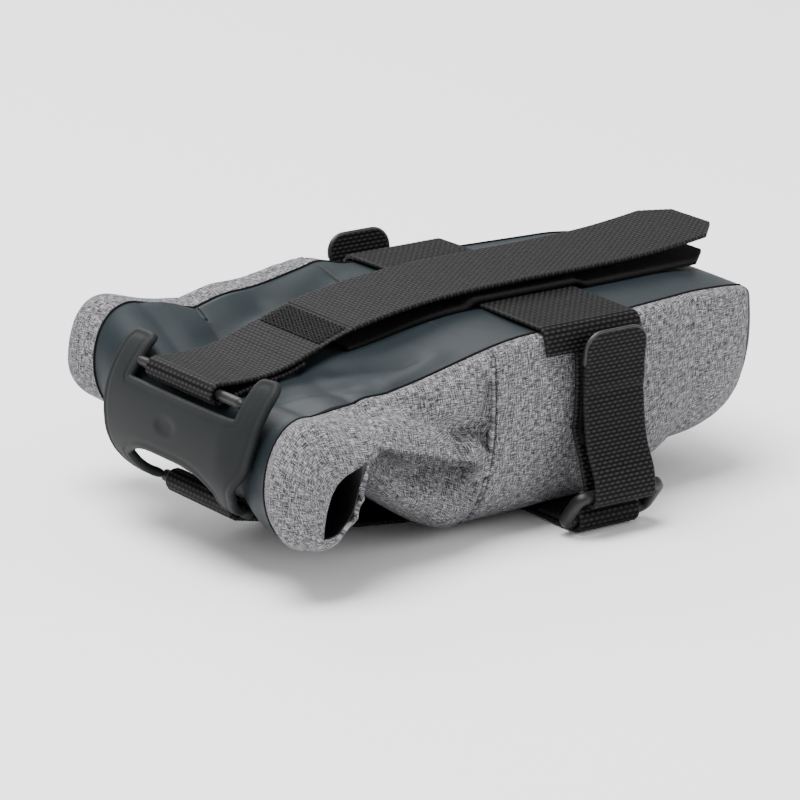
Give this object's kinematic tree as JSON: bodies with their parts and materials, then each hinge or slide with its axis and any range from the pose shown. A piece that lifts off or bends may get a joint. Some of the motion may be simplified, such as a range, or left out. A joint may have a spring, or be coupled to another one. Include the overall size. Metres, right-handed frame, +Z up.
{
  "type": "saddle bag",
  "caption": "Padded roll-top bicycle saddle bag with a rubber tail plate, a closure strap and a cross strap for the saddle rails.",
  "frame": {"origin": "middle of the length and of the width, at the resting face under the bag", "axes": "+X along the bag towards its sealed front end, +Y to the side away from the view, +Z up"},
  "size_m": [0.182, 0.122, 0.0667],
  "materials": {
    "slate_fabric": "coated fabric, satin, dark slate blue-grey",
    "heather_fabric": "woven melange fabric, matt, heather grey",
    "black_webbing": "coarse ribbed webbing, black",
    "black_tape": "hook and loop tape, black, fuzzy",
    "lining_fabric": "thin coated lining, dark grey",
    "foam": "closed-cell foam, grey",
    "board": "stiff plastic board, dark grey",
    "rubber_plate": "moulded rubber, matt, dark grey-green",
    "ring_plastic": "moulded plastic, black, slight gloss",
    "heat_cut_edge": "melted webbing edge, glossy dark grey"
  },
  "bodies": {
    "bag": {"top_panel": "slate_fabric", "bottom_panel": "slate_fabric", "near_side_panel": "heather_fabric", "far_side_panel": "heather_fabric", "near_gusset": "heather_fabric", "far_gusset": "heather_fabric", "nose_panel": "slate_fabric", "lining": "lining_fabric", "base_stiffener": "board", "near_side_foam": "foam", "far_side_foam": "foam", "grip_strip": "black_tape", "rail_strap": "black_webbing", "near_strap_drop": "black_webbing", "far_strap_drop": "black_webbing", "near_loop_tape": "black_tape", "far_loop_tape": "black_tape", "near_ring_anchor": "black_webbing", "far_ring_anchor": "black_webbing", "tail_webbing": "black_webbing"},
    "roll_top": {"neck_top": "slate_fabric", "neck_bottom": "slate_fabric", "near_neck_side": "heather_fabric", "far_neck_side": "heather_fabric", "roll_sheet": "slate_fabric", "roll_lining": "lining_fabric", "lip_stiffener": "board"},
    "tail_plate": {"tail_plate": "rubber_plate"},
    "closure_strap": {"closure_strap": "black_webbing", "closure_hook_tape": "black_tape", "closure_stitch_block": "black_webbing"},
    "near_ring": {"near_ring": "ring_plastic", "near_strap_fold": "black_webbing"},
    "far_ring": {"far_ring": "ring_plastic", "far_strap_fold": "black_webbing"},
    "near_tab": {"near_tab": "black_webbing", "near_hook_tape": "black_tape", "near_tab_rim": "heat_cut_edge"},
    "far_tab": {"far_tab": "black_webbing", "far_hook_tape": "black_tape", "far_tab_rim": "heat_cut_edge"}
  },
  "joints": [
    {"name": "tail_plate_swing", "type": "hinge", "parent": "bag", "child": "tail_plate", "pos_m": [-0.0735, 0, 0.0142], "axis": [0, -1, 0], "range_deg": [0, 75]},
    {"name": "closure_strap_peel", "type": "hinge", "parent": "tail_plate", "child": "closure_strap", "pos_m": [-0.0794, 0, 0.0472], "axis": [0, -1, 0], "range_deg": [0, 90]},
    {"name": "roll_top_lift", "type": "hinge", "parent": "bag", "child": "roll_top", "pos_m": [-0.042, 0, 0.0535], "axis": [0, 1, 0], "range_deg": [0, 26]},
    {"name": "near_ring_swing", "type": "hinge", "parent": "bag", "child": "near_ring", "pos_m": [0.0235, -0.049, 0.0034], "axis": [1, 0, 0], "range_deg": [0, 15]},
    {"name": "far_ring_swing", "type": "hinge", "parent": "bag", "child": "far_ring", "pos_m": [0.0135, 0.049, 0.0034], "axis": [-1, 0, 0], "range_deg": [0, 15]},
    {"name": "near_tab_peel", "type": "hinge", "parent": "near_ring", "child": "near_tab", "pos_m": [0.0235, -0.0594, 0.0123], "axis": [1, 0, 0], "range_deg": [0, 80]},
    {"name": "far_tab_peel", "type": "hinge", "parent": "far_ring", "child": "far_tab", "pos_m": [0.0135, 0.0594, 0.0123], "axis": [-1, 0, 0], "range_deg": [0, 80]}
  ],
  "couplings": [
    {"joint": "roll_top_lift", "follows": "tail_plate_swing", "ratio": 0.3333}
  ]
}
